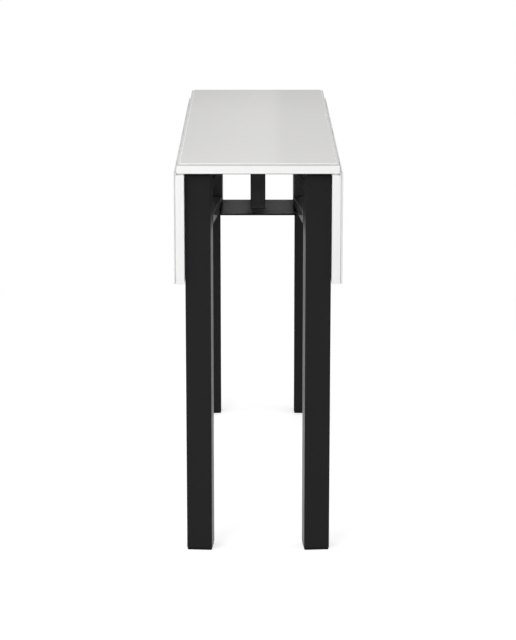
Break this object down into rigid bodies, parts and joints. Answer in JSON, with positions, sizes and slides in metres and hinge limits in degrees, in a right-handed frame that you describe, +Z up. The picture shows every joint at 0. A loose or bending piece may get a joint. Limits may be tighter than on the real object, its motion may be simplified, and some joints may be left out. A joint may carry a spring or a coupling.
{
  "type": "drop-leaf gate-leg table",
  "caption": "Narrow drop-leaf table: white board top and hanging leaves skinned with pale back-painted glass, on black square gate legs that pivot on cross frames under the top.",
  "frame": {"origin": "on the floor under the middle of the table top", "axes": "+Z up, +Y along the table from the end in the picture to the far end, +X to the right in the picture"},
  "size_m": [0.3136, 1.05, 0.75],
  "materials": {
    "white_board": "white lacquered board, low sheen",
    "painted_glass": "clear glass painted pale grey white on the back, polished arris",
    "black_coat": "black powder coat, satin",
    "black_plastic": "black moulded plastic",
    "zinc_steel": "zinc plated",
    "satin_aluminium": "extruded, satin anodised"
  },
  "bodies": {
    "frame": {"centre_panel": "white_board", "centre_glass": "painted_glass", "spine_beam": "black_coat", "hinge_knuckle_left_1": "satin_aluminium", "hinge_knuckle_left_2": "satin_aluminium", "hinge_knuckle_left_3": "satin_aluminium", "hinge_knuckle_right_1": "satin_aluminium", "hinge_knuckle_right_2": "satin_aluminium", "hinge_knuckle_right_3": "satin_aluminium", "cross_plate_front": "black_coat", "head_plate_front": "black_coat", "centre_post_front": "black_coat", "stop_bar_front": "black_coat", "pivot_pin_front_left": "zinc_steel", "pivot_pin_front_right": "zinc_steel", "cross_plate_rear": "black_coat", "head_plate_rear": "black_coat", "centre_post_rear": "black_coat", "stop_bar_rear": "black_coat", "pivot_pin_rear_left": "zinc_steel", "pivot_pin_rear_right": "zinc_steel"},
    "left_leaf": {"leaf_panel_left": "white_board", "leaf_glass_left": "painted_glass", "hinge_clip_left_1": "satin_aluminium", "hinge_clip_left_2": "satin_aluminium", "hinge_clip_left_3": "satin_aluminium"},
    "right_leaf": {"leaf_panel_right": "white_board", "leaf_glass_right": "painted_glass", "hinge_clip_right_1": "satin_aluminium", "hinge_clip_right_2": "satin_aluminium", "hinge_clip_right_3": "satin_aluminium"},
    "front_left_gate": {"leg_front_left": "black_coat", "leg_cap_front_left": "black_plastic", "foot_glide_front_left": "black_plastic", "upper_rail_front_left": "black_coat", "lower_rail_front_left": "black_coat", "pivot_stile_front_left": "black_coat", "pivot_liner_front_left": "black_plastic"},
    "front_right_gate": {"leg_front_right": "black_coat", "leg_cap_front_right": "black_plastic", "foot_glide_front_right": "black_plastic", "upper_rail_front_right": "black_coat", "lower_rail_front_right": "black_coat", "pivot_stile_front_right": "black_coat", "pivot_liner_front_right": "black_plastic"},
    "rear_left_gate": {"leg_rear_left": "black_coat", "leg_cap_rear_left": "black_plastic", "foot_glide_rear_left": "black_plastic", "upper_rail_rear_left": "black_coat", "lower_rail_rear_left": "black_coat", "pivot_stile_rear_left": "black_coat", "pivot_liner_rear_left": "black_plastic"},
    "rear_right_gate": {"leg_rear_right": "black_coat", "leg_cap_rear_right": "black_plastic", "foot_glide_rear_right": "black_plastic", "upper_rail_rear_right": "black_coat", "lower_rail_rear_right": "black_coat", "pivot_stile_rear_right": "black_coat", "pivot_liner_rear_right": "black_plastic"}
  },
  "joints": [
    {"name": "left_leaf_hinge", "type": "hinge", "parent": "frame", "child": "left_leaf", "pos_m": [-0.1445, 0, 0.7377], "axis": [0, 1, 0], "range_deg": [0, 90]},
    {"name": "right_leaf_hinge", "type": "hinge", "parent": "frame", "child": "right_leaf", "pos_m": [0.1445, 0, 0.7377], "axis": [0, -1, 0], "range_deg": [0, 90]},
    {"name": "front_left_gate_pivot", "type": "hinge", "parent": "frame", "child": "front_left_gate", "pos_m": [-0.07897, -0.27097, 0.6748], "axis": [0, 0, -1], "range_deg": [-4.5, 0]},
    {"name": "front_right_gate_pivot", "type": "hinge", "parent": "frame", "child": "front_right_gate", "pos_m": [0.07897, -0.27097, 0.6748], "axis": [0, 0, 1], "range_deg": [-4.5, 0]},
    {"name": "rear_left_gate_pivot", "type": "hinge", "parent": "frame", "child": "rear_left_gate", "pos_m": [-0.07897, 0.27097, 0.6748], "axis": [0, 0, 1], "range_deg": [-4.5, 0]},
    {"name": "rear_right_gate_pivot", "type": "hinge", "parent": "frame", "child": "rear_right_gate", "pos_m": [0.07897, 0.27097, 0.6748], "axis": [0, 0, -1], "range_deg": [-4.5, 0]}
  ]
}
